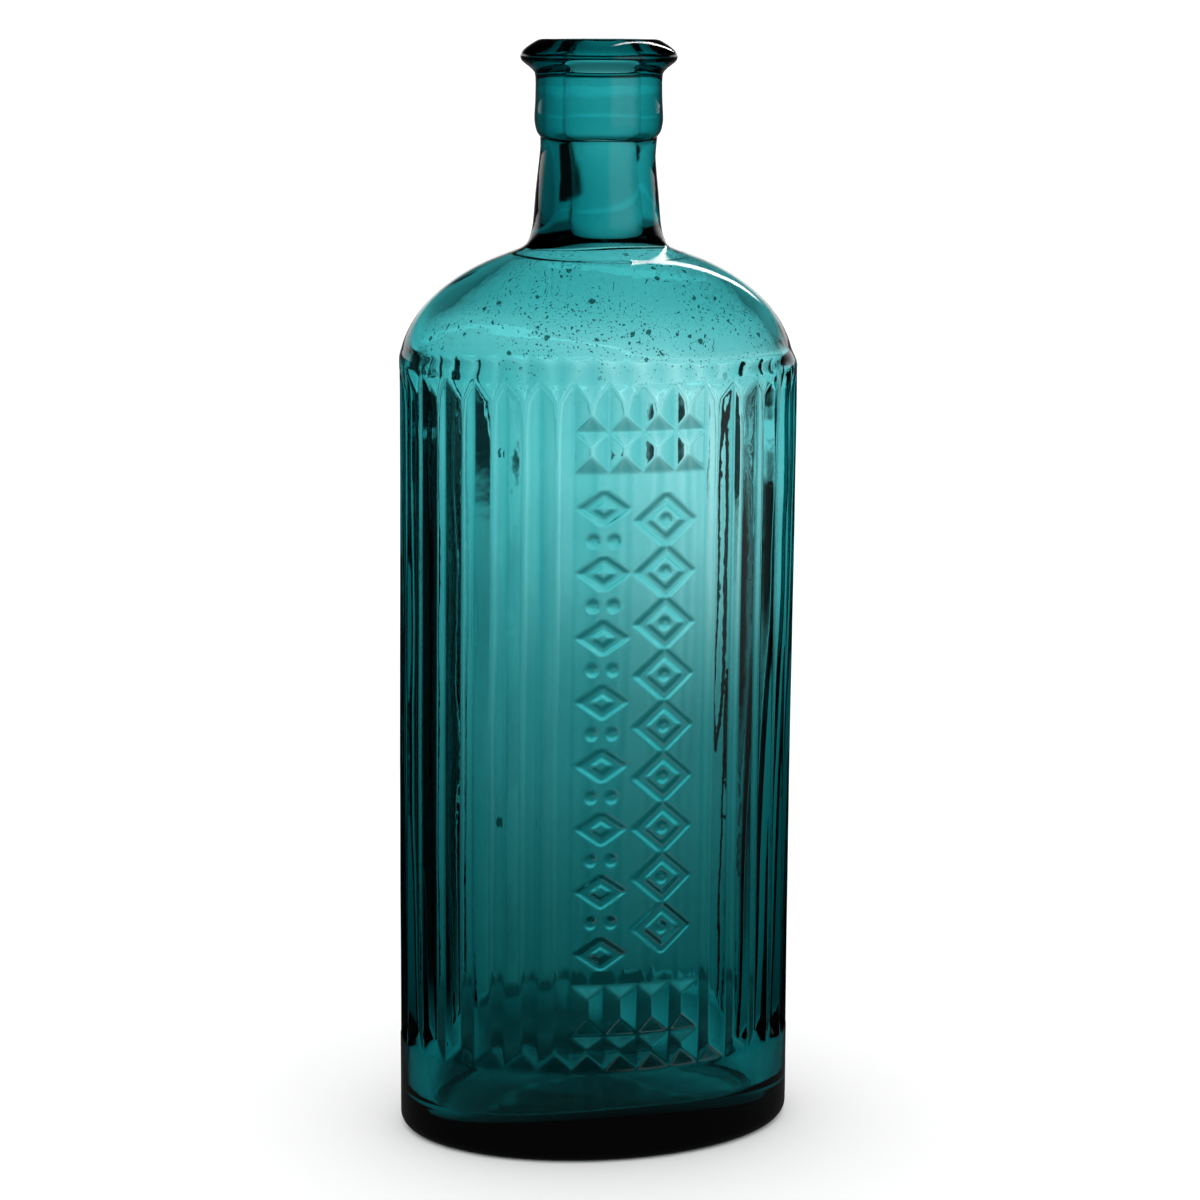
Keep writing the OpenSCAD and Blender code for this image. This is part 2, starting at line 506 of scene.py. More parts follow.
def ring_to_ring(upper, lower):
    """Faces between two closed rings of (share of the way round, corner), of unlike counts."""
    first_upper = (upper[0][0] + 1, upper[0][1])
    first_lower = (lower[0][0] + 1, lower[0][1])
    return join_columns(lower + [first_lower], upper + [first_upper])


def spread(start, end, step):
    """Even steps from start up to, and not including, end."""
    count = max(1, round((end - start) / step))
    return [start + (end - start) * k / count for k in range(count)]


def body_levels(flutes, fine):
    """Heights of the straight part's rows, closer where flutes end or the ornament stands.

    A mark is the height where a stretch starts, and the step between its rows."""
    run = flutes.run + 1 * MM
    edge = 0.36 * MM if fine else 0.55 * MM
    marks = [
        (flutes.band_top - 1 * MM, edge),
        (flutes.band_top + run, 4 * MM),
        (flutes.top - run, edge),
    ]
    if fine:
        marks[1:2] = [
            (flutes.band_top + run, edge),
            (flutes.ridge_low + run, 1.5 * MM),
            (flutes.panel_low - run, edge),
            (flutes.panel_high + run, edge),
            (flutes.ridge_high + run, 1.5 * MM),
        ]
    ends = [mark[0] for mark in marks[1:]] + [flutes.top]
    levels = []
    for (start, step), end in zip(marks, ends):
        if end > start:
            levels += spread(start, end, step)
    return levels + [flutes.top]


def make_blank(name, corners, faces, attributes):
    """A mesh object from corners and faces, with a number of each name on every corner."""
    mesh = bpy.data.meshes.new(name)
    mesh.from_pydata(corners, [], faces)
    for key, numbers in attributes.items():
        mesh.attributes.new(key, "FLOAT", "POINT").data.foreach_set("value", numbers)
    mesh.shade_smooth()
    mesh.validate()
    blank = bpy.data.objects.new(name, mesh)
    bpy.context.scene.collection.objects.link(blank)
    return blank


class Shell:
    """Collects the corners of a closed shell, and what the shape tree reads of each."""

    def __init__(self):
        self.corners = []
        self.faces = []
        self.rib = []
        self.inside = []

    def corner(self, x, y, z, rib, inside):
        """Adds a corner and returns its number."""
        self.corners.append((x, y, z))
        self.rib.append(rib)
        self.inside.append(inside)
        return len(self.corners) - 1

    def on_oval(self, station, rib, ribs, lean, inside):
        """Adds a corner on the oval of a (z, half width, half depth) station."""
        z, half_w, half_d = station
        angle = oval_angle(rib, ribs)
        return self.corner(lean + half_w * math.cos(angle), half_d * math.sin(angle), z, rib, inside)

    def blank(self, name):
        """The finished mesh object."""
        return make_blank(name, self.corners, self.faces, {"rib": self.rib, "inside": self.inside})


# Where the columns of corners stand within one rib's width, from crest to crest. Beside the
# panel they crowd at the crest and the valley, and on the panel they are even, for the ornament.
RIB_PARTS = (0, 0.05, 0.13, 0.25, 0.37, 0.45, 0.5, 0.55, 0.63, 0.75, 0.87, 0.95)
PANEL_PARTS = tuple(k / 22 for k in range(22))


def foot_stations(walls):
    """(z, half width, half depth) from the hollow under the base, round the heel, to the plain band."""
    heel = walls.heel
    hollow = (
        (1.0, 19 * MM),
        (1.0, 13.5 * MM),
        (0.92, 11 * MM),
        (0.5, 8.8 * MM),
        (0.08, 6.8 * MM),
        (0.0, 5.6 * MM),
        (0.0, heel + 0.6 * MM),
    )
    rows = [(share * walls.kick, inset) for share, inset in hollow]
    for step in range(7):
        angle = math.pi / 2 * step / 6
        rows.append((heel * (1 - math.cos(angle)), heel * (1 - math.sin(angle))))
    stations = [(z, HALF_W - inset, HALF_D - inset) for z, inset in rows]
    return stations + [(heel + rise * MM, HALF_W, HALF_D) for rise in (2, 5, 8.5, 12)]


def head_stations(sizes):
    """(z, half width, half depth) from the flutes' tops over the step, dome and neck to the seam."""
    walls = sizes.walls
    fade = walls.step_height / MM
    stations = []
    for rise in spread(0.4, fade, 0.42):
        share = smooth_step(-0.4, fade, rise)
        dome_w, dome_d = dome_halves(rise * MM, walls)
        half_w = HALF_W + share * (dome_w - HALF_W)
        half_d = HALF_D + share * (dome_d - HALF_D)
        stations.append((sizes.flutes.top + rise * MM, half_w, half_d))
    return stations + [tuple(point) for point in shoulder_path(sizes)]


def add_outside(shell, sizes):
    """Adds the body's outer skin, closed under the base, and gives the ring of corners at the seam.

    Each corner of a column has a key, so that a fine column and a coarse one can be joined: the
    foot's keys are below 0, the straight part's are its heights and the head's start at 1."""
    flutes = sizes.flutes
    ribs = flutes.ribs
    foot = foot_stations(sizes.walls)
    head = head_stations(sizes)
    levels = {fine: body_levels(flutes, fine) for fine in (False, True)}
    columns = []
    places = []
    for whole in range(-ribs // 2, ribs - ribs // 2):
        on_panel = -flutes.panel_half <= whole < flutes.panel_half
        for part in PANEL_PARTS if on_panel else RIB_PARTS:
            rib = whole + part
            fine = on_panel or rib == flutes.panel_half
            stations = [(k - 100.0, station) for k, station in enumerate(foot)]
            stations += [(z, (z, HALF_W, HALF_D)) for z in levels[fine]]
            stations += [(k + 1.0, station) for k, station in enumerate(head)]
            column = []
            for key, station in stations:
                z, half_w, half_d = station
                if station is head[-1]:
                    z += seam_dip(oval_angle(rib, ribs))
                corner = shell.on_oval((z, half_w, half_d), rib, ribs, outer_lean(z, sizes), 0.0)
                column.append((key, corner))
            columns.append(column)
            places.append((rib + ribs / 2) / ribs)
    for left, right in zip(columns, columns[1:] + columns[:1]):
        shell.faces += join_columns(left, right)
    under = shell.corner(0, 0, sizes.walls.kick, 0.0, 0.0)
    for left, right in zip(columns, columns[1:] + columns[:1]):
        shell.faces.append((under, right[0][1], left[0][1]))
    return [(place, column[-1][1]) for place, column in zip(places, columns)]


def add_inside(shell, sizes, ring_above):
    """Adds the body's inner skin, from the ring at the seam down to the middle of the floor."""
    walls = sizes.walls
    ribs = sizes.flutes.ribs
    count = 128
    for number, (level, half_w, half_d) in enumerate(cavity_path(sizes)):
        ring = []
        for k in range(count):
            rib = ribs * (k / count - 0.5)
            angle = oval_angle(rib, ribs)
            sideways = half_w * math.cos(angle)
            z = level + (seam_dip(angle) if number == 0 else 0.0)
            low_down = smooth_step(walls.base + walls.base_sweep, walls.base, z)
            z -= walls.base_dip * low_down * (sideways / HALF_W) ** 2
            thin = walls.thin * thin_share(z, sideways)
            station = (z, half_w, half_d + thin)
            corner = shell.on_oval(station, rib, ribs, bore_lean(z, sizes), 1.0)
            ring.append((k / count, corner))
        shell.faces += ring_to_ring(ring_above, ring)
        ring_above = ring
    floor = shell.corner(0, 0, shell.corners[-1][2], 0.0, 1.0)
    for (_, left), (_, right) in zip(ring_above, ring_above[1:] + ring_above[:1]):
        shell.faces.append((floor, left, right))


def body_blank(name):
    """The body as a smooth closed shell, before the flutes are pressed in."""
    sizes = settings()
    shell = Shell()
    ring_at_seam = add_outside(shell, sizes)
    add_inside(shell, sizes, ring_at_seam)
    return shell.blank(name)


def lip_path():
    """(radius, z) of the lip, up the outside from the seam, over the mouth and down the bore."""
    walls = settings().walls
    ring = lip_high.x
    collar = ring - walls.ring_proud
    top = TOP_Z
    outside = [
        (walls.neck + 0.15 * MM, SEAM_Z),
        (walls.neck + 0.7 * MM, SEAM_Z + 0.9 * MM),
        (collar - 0.1 * MM, SEAM_Z + 2.2 * MM),
        (collar + 0.1 * MM, SEAM_Z + 4 * MM),
        (collar - 0.1 * MM, SEAM_Z + 8 * MM),
        (collar - 0.1 * MM, top - 7.6 * MM),
        (collar + 0.5 * MM, top - 6.3 * MM),
        (ring - 1.2 * MM, top - 5.2 * MM),
        (ring - 0.25 * MM, top - 4.4 * MM),
        (ring, top - 3.5 * MM),
        (ring - 0.3 * MM, top - 2.6 * MM),
        (ring - 1.3 * MM, top - 1.6 * MM),
        (ring - 2.9 * MM, top - 0.55 * MM),
        (ring - 4.0 * MM, top - 0.05 * MM),
        (ring - 5.0 * MM, top),
    ]
    inside = [
        (walls.bore + 1.3 * MM, top - 0.2 * MM),
        (walls.bore + 0.3 * MM, top - 1.1 * MM),
        (walls.bore, top - 2.4 * MM),
        (walls.bore, top - 6 * MM),
        (walls.bore, SEAM_Z + 6 * MM),
        (walls.bore, SEAM_Z),
    ]
    return [tuple(point) for point in smooth_path(outside + inside, 3)]


def lip_blank(name):
    """The lip as a smooth closed ring, before its tooling waves.

    Its lower edge follows the seam, a hair above the neck, so that each of the two is closed."""
    sizes = settings()
    path = lip_path()
    top_row = max(range(len(path)), key=lambda row: path[row][1])
    count = 160
    gap = 0.02 * MM
    shell = Shell()
    rings = []
    for row, (radius, z) in enumerate(path):
        inside = 1.0 if row > top_row else 0.0
        lean = bore_lean(z, sizes) if inside else outer_lean(z, sizes)
        near_seam = 1 - smooth_step(SEAM_Z, SEAM_Z + 1.5 * MM, z)
        ring = []
        for k in range(count):
            angle = math.tau * k / count
            x = lean + radius * math.cos(angle)
            y = radius * math.sin(angle)
            lift = near_seam * seam_dip(angle) + (gap if z <= SEAM_Z else 0.0)
            ring.append(shell.corner(x, y, z + lift, 0.0, inside))
        rings.append(ring)
    for lower, upper in zip(rings, rings[1:] + rings[:1]):
        for k in range(count):
            after = (k + 1) % count
            shell.faces.append((lower[k], lower[after], upper[after], upper[k]))
    return shell.blank(name)


# ---------------------------------------------------------------- shape trees


def slow_waves(tree, height_out, height_in, scale, seed):
    """Slow uneven waves along the normal, unlike outside and inside."""
    inside = tree.attribute("inside")
    place = tree.put("GeometryNodeInputPosition").outputs[0]
    noise = {"Vector": place, "W": seed, "Scale": scale, "Detail": 1.5, "Roughness": 0.45}
    wave = tree.put("ShaderNodeTexNoise", noise, noise_dimensions="4D").outputs[0]
    more = tree.math("MULTIPLY", inside, tree.math("SUBTRACT", height_in, height_out))
    height = tree.math("ADD", height_out, more)
    return tree.math("MULTIPLY", tree.math("MULTIPLY_ADD", wave, 2.0, -1.0), height)


def flute_cut(tree, flutes, rib, level):
    """Depth of the flutes: the lesser of their V section and of how far their ends have run out.

    The ridges and the panel only break the flutes within half a panel's width of the middle."""
    run = tree.size("Run-out", flutes.run)
    soft = tree.size("Edge softness", flutes.softness)
    band_top = tree.size("Band top", flutes.band_top)
    flute_top = tree.size("Flute top", flutes.top)
    panel_half = tree.size("Panel half width", flutes.panel_half)
    beside = tree.math("GREATER_THAN", tree.math("ABSOLUTE", rib), panel_half)
    top_slope = tree.size("Top slope", flutes.top_slope)
    below_top = tree.math("MULTIPLY", tree.math("SUBTRACT", flute_top, level), top_slope)
    rise = tree.math("MINIMUM", tree.math("SUBTRACT", level, band_top), below_top)
    for label, height in (("Lower ridge", flutes.ridge_low), ("Upper ridge", flutes.ridge_high)):
        off_ridge = tree.math("ABSOLUTE", tree.math("SUBTRACT", level, tree.size(label, height)))
        rise = tree.math("MINIMUM", rise, tree.math("ADD", off_ridge, beside))
    under = tree.math("SUBTRACT", tree.size("Panel foot", flutes.panel_low), level)
    over = tree.math("SUBTRACT", level, tree.size("Panel head", flutes.panel_high))
    clear = tree.math("ADD", tree.math("MAXIMUM", under, over), beside)
    rise = tree.math("MINIMUM", rise, clear)
    share = tree.math("MINIMUM", tree.math("DIVIDE", rise, run), 1.0)
    section = tree.math("MULTIPLY", tree.math("PINGPONG", rib, 0.5), 2.0)
    cut = tree.math("SMOOTH_MIN", section, share, soft)
    cut = tree.math("SMOOTH_MAX", cut, 0.0, soft)
    return tree.math("MULTIPLY", cut, tree.size("Flute depth", flutes.depth))


def lozenge(tree, across, up, half_w, half_h, stroke, soft):
    """1 on the outline of a lozenge and 0 off it."""
    reach = tree.math("ADD", tree.math("DIVIDE", across, half_w), tree.math("DIVIDE", up, half_h))
    off = tree.math("ABSOLUTE", tree.math("SUBTRACT", reach, 1.0))
    off = tree.math("MULTIPLY", off, half_w * half_h / math.hypot(half_w, half_h))
    return tree.ramp(off, stroke / 2 + soft / 2, stroke / 2 - soft / 2)


def bead(tree, across, up, radius, soft):
    """1 on a round bead and 0 off it."""
    squares = tree.math("ADD", tree.math("POWER", across, 2.0), tree.math("POWER", up, 2.0))
    return tree.ramp(tree.math("SQRT", squares), radius + soft / 2, radius - soft / 2)


def ornament_row(tree, look, right, level, which):
    """Raised lozenges up one row, which is "large" or "small", read from so far right of the middle.

    The large row has a bead in each lozenge. The small one has two beads between each two."""
    parts = ("across", "foot", "pitch", "count", "half_w", "half_h")
    place, foot, pitch, count, half_w, half_h = (getattr(look, f"{which}_{part}") for part in parts)
    label = which.capitalize()
    across = tree.math("SUBTRACT", right, tree.size(f"{label} row place", place))
    across = tree.math("ABSOLUTE", across)
    climbed = tree.math("SUBTRACT", level, tree.size(f"{label} row foot", foot))
    unit = tree.math("DIVIDE", climbed, pitch)
    up = tree.math("MULTIPLY", tree.math("SUBTRACT", tree.math("FRACT", unit), 0.5), pitch)
    up = tree.math("ABSOLUTE", up)
    outline = lozenge(tree, across, up, half_w, half_h, look.stroke, look.soft)
    if which == "large":
        raised = tree.math("MAXIMUM", outline, bead(tree, across, up, look.bead, look.soft))
    else:
        odd = tree.math("MODULO", tree.math("FLOOR", unit), 2.0)
        aside = tree.math("SUBTRACT", across, look.bead_apart)
        pair = tree.math("MULTIPLY", bead(tree, aside, up, look.bead, look.soft), odd)
        outline = tree.math("MULTIPLY", outline, tree.math("SUBTRACT", 1.0, odd))
        raised = tree.math("MAXIMUM", outline, pair)
    started = tree.math("GREATER_THAN", unit, 0.0)
    going_on = tree.math("LESS_THAN", unit, tree.size(f"{label} count", count))
    return tree.math("MULTIPLY", raised, tree.math("MULTIPLY", started, going_on))


def inner_ripple(tree, sizes, rib, level, inside):
    """How far the inside follows the flutes, where there are any."""
    flutes = sizes.flutes
    above_band = tree.ramp(level, flutes.band_top + 0.2 * MM, flutes.band_top + 6.2 * MM)
    below_top = tree.ramp(level, flutes.top + 1.4 * MM, flutes.top - 4.6 * MM)
    ripple = tree.math("COSINE", tree.math("MULTIPLY", rib, math.tau))
    ripple = tree.math("MULTIPLY", ripple, tree.math("MULTIPLY", above_band, below_top))
    ripple = tree.math("MULTIPLY", ripple, inside)
    return tree.math("MULTIPLY", ripple, tree.size("Inner ripple", sizes.walls.inner_ripple))


def body_waves(tree, sizes, level):
    """The body's slow waves, which die out at the foot and the seam and are slight in the neck."""
    walls = sizes.walls
    height_out = tree.size("Outer waves", walls.outer_wave)
    height_in = tree.size("Inner waves", walls.inner_wave)
    waves = slow_waves(tree, height_out, height_in, scale=55.0, seed=3.0)
    above_foot = tree.ramp(level, 0.0, 4 * MM)
    below_seam = tree.ramp(level, SEAM_Z - 0.5 * MM, SEAM_Z - 6 * MM)
    neck_root = sizes.flutes.top + 21.4 * MM
    in_neck = tree.ramp(level, neck_root, neck_root + 8 * MM, 1.0, 0.25)
    calm = tree.math("MULTIPLY", tree.math("MULTIPLY", above_foot, below_seam), in_neck)
    return tree.math("MULTIPLY", waves, calm)


def press_body(blank, material):
    """Presses flutes, ornament and waves into the smooth body."""
    sizes = settings()
    flutes = sizes.flutes
    look = sizes.ornament
    tree = ShapeTree("pressed_glass")
    rib = tree.attribute("rib")
    inside = tree.attribute("inside")
    level = tree.level()

    right = tree.math("MULTIPLY", rib, GIRTH / flutes.ribs)
    large = ornament_row(tree, look, right, level, "large")
    small = ornament_row(tree, look, right, level, "small")
    relief = tree.math("MULTIPLY", tree.math("MAXIMUM", large, small), tree.size("Relief", look.relief))
    outside = tree.math("SUBTRACT", relief, flute_cut(tree, flutes, rib, level))
    outside = tree.math("MULTIPLY", outside, tree.math("SUBTRACT", 1.0, inside))

    total = tree.math("ADD", outside, body_waves(tree, sizes, level))
    total = tree.math("ADD", total, inner_ripple(tree, sizes, rib, level, inside))
    return tree.pushed_out(blank, total, material)


def tool_lip(blank, material):
    """Gives the smooth lip the slow waves of its tooling, which die out at the seam and the top."""
    walls = settings().walls
    tree = ShapeTree("tooled_lip")
    level = tree.level()
    height_out = tree.size("Outer waves", walls.outer_wave)
    height_in = tree.size("Inner waves", walls.lip_wave)
    waves = slow_waves(tree, height_out, height_in, scale=75.0, seed=9.0)
    waves = tree.math("MULTIPLY", waves, tree.ramp(level, SEAM_Z + 0.5 * MM, SEAM_Z + 4 * MM))
    waves = tree.math("MULTIPLY", waves, tree.ramp(level, TOP_Z, TOP_Z - 2 * MM))
    return tree.pushed_out(blank, waves, material)


# ---------------------------------------------------------------- materials


def new_material(name):
    """An empty material and the bench for its nodes."""
    material = bpy.data.materials.new(name)
    material.use_nodes = True
    material.node_tree.nodes.clear()
    return material, Bench(material.node_tree)


def specks(bench, place, scale, rarity, reach):
    """1 in specks of dirt and 0 between them.

    There are scale cells to the metre. A share of them, rarity, has no speck, and in the others
    it reaches up to so much of the cell from its middle."""
    cells = bench.put("ShaderNodeTexVoronoi", {"Vector": place, "Scale": scale})
    luck = bench.put("ShaderNodeSeparateXYZ", {0: cells.outputs["Color"]}).outputs["X"]
    patch = bench.noise(place, 90.0, 3.0)
    size = bench.math("MULTIPLY", bench.ramp(luck, rarity, 1.0), bench.ramp(patch, 0.32, 0.55))
    return bench.math("LESS_THAN", cells.outputs["Distance"], bench.math("MULTIPLY", size, reach))


def residue_mask(bench, place):
    """1 where dry residue clings: fine specks and flecks on the shoulder, and a few stains anywhere."""
    top = settings().flutes.top
    level = bench.put("ShaderNodeSeparateXYZ", {0: place}).outputs["Z"]
    above_flutes = bench.ramp(level, top - 6.6 * MM, top + 5.4 * MM)
    below_neck = bench.ramp(level, top + 29.4 * MM, top + 21.4 * MM)
    on_shoulder = bench.math("MULTIPLY", above_flutes, below_neck)
    ragged = bench.put("ShaderNodeTexNoise", {"Vector": place, "Scale": 1500.0, "Detail": 2.0})
    shake = {0: ragged.outputs["Color"], "Scale": 0.9 * MM}
    shake = bench.put("ShaderNodeVectorMath", shake, operation="SCALE").outputs[0]
    shaken = bench.put("ShaderNodeVectorMath", {0: place, 1: shake}, operation="ADD").outputs[0]
    fine = specks(bench, shaken, scale=1600.0, rarity=0.3, reach=0.36)
    flecks = specks(bench, shaken, scale=420.0, rarity=0.6, reach=0.3)
    stains = specks(bench, shaken, scale=45.0, rarity=0.6, reach=0.07)
    dust = bench.math("MULTIPLY", bench.math("MAXIMUM", fine, flecks), on_shoulder)
    return bench.math("MAXIMUM", dust, stains)


def glass_material(name, residue):
    """Clear tinted glass, with dry residue on its inside where residue is 1 and none where it is 0."""
    look = settings().glass
    material, bench = new_material(name)
    place = bench.put("ShaderNodeTexCoord").outputs["Object"]
    inside = bench.put("ShaderNodeAttribute", attribute_name="inside").outputs["Fac"]
    dirty = bench.math("MULTIPLY", residue_mask(bench, place), bench.math("MULTIPLY", inside, residue))
    shades = {"Factor": dirty, 6: (1.0, 1.0, 1.0, 1.0), 7: (*look.speck_tint, 1.0)}
    colour = bench.put("ShaderNodeMix", shades, data_type="RGBA").outputs[2]

    film = bench.ramp(bench.noise(place, 30.0, 4.0), 0.5, 0.8, 0.0, 0.03)
    ripples = {"Height": bench.noise(place, 260.0, 2.0), "Distance": 0.04 * MM, "Strength": 0.6}
    sockets = {
        "Base Color": colour,
        "Roughness": bench.math("MULTIPLY", film, inside),
        "IOR": look.bend,
        "Transmission Weight": 1.0,
        "Normal": bench.put("ShaderNodeBump", ripples).outputs[0],
    }
    surface = bench.put("ShaderNodeBsdfPrincipled", sockets).outputs[0]
    depth = {"Color": (*look.tint, 1.0), "Density": look.density}
    volume = bench.put("ShaderNodeVolumeAbsorption", depth).outputs[0]
    bench.put("ShaderNodeOutputMaterial", {"Surface": surface, "Volume": volume})
    return material


# ---------------------------------------------------------------- stage


class Arc(NamedTuple):
    """Light over a range of bearings, in degrees, that rises from start to full and fades to end."""

    start: float
    full: float
    fading: float
    end: float
    low: float
    high: float


WHITE = (1.0, 1.0, 1.0, 1.0)
STAGE_RADIUS = 12.0
BENT_FAR = Arc(start=-85, full=-60, fading=60, end=85, low=0.03, high=1.3)
BENT_NEAR = Arc(start=-27, full=-17, fading=46, end=60, low=0.02, high=1.3)
SOFTBOX = Arc(start=100, full=118, fading=150, end=164, low=0.0, high=0.5)
BACKLIGHT = Arc(start=-30, full=-15, fading=12, end=30, low=0.02, high=0.12)
SLIT_LAMP = Arc(start=17, full=20, fading=21, end=24, low=0.0, high=7.0)
SKYLINE = Arc(start=-60, full=-40, fading=40, end=60, low=0.0, high=0.9)
SIDES = (85, 115, 0.7)  # where the light at the sides begins and is full, and its strength


def bearing_of(bench, x, y, back):
    """Compass bearing: 0 behind the bottle, growing to the right, half a turn at the camera.

    A place is seen from so far back towards the camera, a direction from nought."""
    turn = settings().studio.turn
    away_x = bench.math("MULTIPLY", x, -math.sin(turn))
    away_y = bench.math("MULTIPLY", y, math.cos(turn))
    right_x = bench.math("MULTIPLY", x, math.cos(turn))
    right_y = bench.math("MULTIPLY", y, math.sin(turn))
    ahead = bench.math("ADD", bench.math("ADD", away_x, away_y), back)
    return bench.math("ARCTAN2", bench.math("ADD", right_x, right_y), ahead)


def arc_light(bench, bearing, arc):
    """The brightness that an Arc gives at a bearing."""
    rise = bench.ramp(bearing, math.radians(arc.start), math.radians(arc.full))
    fall = bench.ramp(bearing, math.radians(arc.fading), math.radians(arc.end), 1.0, 0.0)
    return bench.math("MULTIPLY_ADD", bench.math("MULTIPLY", rise, fall), arc.high - arc.low, arc.low)


def bent_light(bench, bearing, near):
    """Brightness at a bearing for light that the glass bends: a narrower arc where near is 1."""
    start, full, strength = SIDES
    sideways = bench.math("ABSOLUTE", bearing)
    sides = bench.ramp(sideways, math.radians(start), math.radians(full), 0.0, strength)
    far_arc = arc_light(bench, bearing, BENT_FAR)
    near_arc = arc_light(bench, bearing, BENT_NEAR)
    arc = bench.put("ShaderNodeMix", {"Factor": near, "A": far_arc, "B": near_arc}).outputs[0]
    return bench.math("MAXIMUM", arc, sides)


def mirrored_light(bench, bearing):
    """Brightness at a bearing for light that the glass mirrors."""
    softbox = arc_light(bench, bearing, SOFTBOX)
    return bench.math("ADD", softbox, arc_light(bench, bearing, BACKLIGHT))


def by_path(bench, bent, mirrored):
    """Chooses between the light for bent rays and the light for mirrored rays."""
    is_mirrored = bench.put("ShaderNodeLightPath").outputs["Is Reflection Ray"]
    return bench.put("ShaderNodeMix", {"Factor": is_mirrored, "A": bent, "B": mirrored}).outputs[0]


def studio_world():
    """A white room for the camera and the floor, and a glow from some sides for the glass.

    The ramps on z fade a light with its height, from 0 at the horizon to 1 overhead."""
    world = bpy.data.worlds.new("studio")
    world.use_nodes = True
    world.node_tree.nodes.clear()
    bench = Bench(world.node_tree)
    direction = bench.put("ShaderNodeTexCoord").outputs["Generated"]
    x, y, z = bench.put("ShaderNodeSeparateXYZ", {0: direction}).outputs
    bearing = bearing_of(bench, x, y, 0.0)

    near_horizon = bench.ramp(z, 0.32, 0.12, 0.05, 1.0)
    mirrored = bench.math("MULTIPLY", mirrored_light(bench, bearing), near_horizon)
    high_up = bench.math("MULTIPLY", bench.ramp(z, 0.2, 0.3), bench.ramp(z, 0.95, 0.85))
    slit = bench.math("MULTIPLY", arc_light(bench, bearing, SLIT_LAMP), high_up)
    low_down = bench.math("MULTIPLY", bench.ramp(z, 0.002, 0.008), bench.ramp(z, 0.2, 0.05))
    skyline = bench.math("MULTIPLY", arc_light(bench, bearing, SKYLINE), low_down)
    mirrored = bench.math("ADD", bench.math("ADD", mirrored, slit), skyline)
    dimmer_overhead = bench.ramp(z, 0.1, 0.5, 1.0, 0.3)
    bent = bench.math("MULTIPLY", bent_light(bench, bearing, 0.0), dimmer_overhead)

    glow = {"Color": WHITE, "Strength": by_path(bench, bent, mirrored)}
    glow = bench.put("ShaderNodeBackground", glow).outputs[0]
    room = {"Color": WHITE, "Strength": settings().studio.room}
    room = bench.put("ShaderNodeBackground", room).outputs[0]
    path = bench.put("ShaderNodeLightPath").outputs
    by_glass = bench.math("MAXIMUM", path["Is Transmission Ray"], path["Is Glossy Ray"])
    mixed = bench.put("ShaderNodeMixShader", {0: by_glass, 1: room, 2: glow}).outputs[0]
    bench.put("ShaderNodeOutputWorld", {"Surface": mixed})
    return world


def disc(name, z, material):
    """A flat round stage piece."""
    count = 96
    corners = []
    for k in range(count):
        angle = math.tau * k / count
        corners.append((STAGE_RADIUS * math.cos(angle), STAGE_RADIUS * math.sin(angle), z))
    mesh = bpy.data.meshes.new(name)
    mesh.from_pydata(corners, [], [tuple(range(count))])
    mesh.materials.append(material)
    made = bpy.data.objects.new(name, mesh)
    bpy.context.scene.collection.objects.link(made)
    return made


def floor_material():
    """Plain pale matt floor, faintly mottled."""
    material, bench = new_material("pale_floor")
    place = bench.put("ShaderNodeTexCoord").outputs["Object"]
    mottle = bench.put("ShaderNodeTexNoise", {"Vector": place, "Scale": 3.0}).outputs[0]
    shade = bench.ramp(mottle, 0.3, 0.7, 0.915, 0.93)
    colour = bench.put("ShaderNodeCombineColor", {0: shade, 1: shade, 2: shade}).outputs[0]
    shader = bench.put("ShaderNodeBsdfPrincipled", {"Base Color": colour, "Roughness": 0.8}).outputs[0]
    bench.put("ShaderNodeOutputMaterial", {"Surface": shader})
    return material


def painted_shade_and_glow_bent(bench, x, y, far):
    """What the card sends up through the glass: painted shade close by, standing in for the bottle's
    shadow on the floor, and the room's glow farther off.

    Its bearings are seen from a little in front of the bottle and swing round close to it. A faint ring
    of painted light lies round the foot, stronger at the bottle's two ends."""
    # Painted shade: nothing close to the axis, for the bottle's shadow, rising to the room's glow
    # farther off.
    fade = bench.math("SMOOTH_MIN", bench.math("MULTIPLY_ADD", far, 0.92, 0.17), 1.0, 0.2)
    fade = bench.math("MULTIPLY", fade, bench.ramp(far, 0.03, 0.12))
    fade = bench.math("MULTIPLY", fade, bench.ramp(far, 3.0, 4.5, 1.0, 1.25))
    swing = bench.ramp(far, 1.0, 0.8, 0.0, math.radians(6))
    bearing = bench.math("ADD", bearing_of(bench, x, y, 0.12), swing)
    glow = bench.math("MULTIPLY", bent_light(bench, bearing, bench.ramp(far, 1.7, 1.25)), fade)
    # Painted light: a faint glowing ring round the foot, brighter at the bottle's two ends.
    painted_light_at_ends = bench.ramp(bench.math("ABSOLUTE", x), 0.030, 0.046, 0.0, 0.6)
    ring = bench.math("ADD", bench.ramp(far, 0.02, 0.045, 0.02, 0.14), painted_light_at_ends)
    ring = bench.math("MULTIPLY", ring, bench.ramp(far, 0.13, 0.06))
    return bench.math("MAXIMUM", glow, ring)


def painted_sheen_and_glow_mirrored(bench, x, y, far):
    """What the glass mirrors of the card: painted shade close by with a faint painted sheen, and more
    farther off.
    """
    sockets = {"Value": far, "From Min": 0.17, "From Max": 0.9}
    fade = bench.put("ShaderNodeMapRange", sockets).outputs[0]
    glow = bench.math("MULTIPLY", mirrored_light(bench, bearing_of(bench, x, y, 0.0)), fade)
    # A faint painted sheen close round the foot.
    return bench.math("MAXIMUM", glow, bench.ramp(far, 0.16, 0.05, 0.0, 0.04))


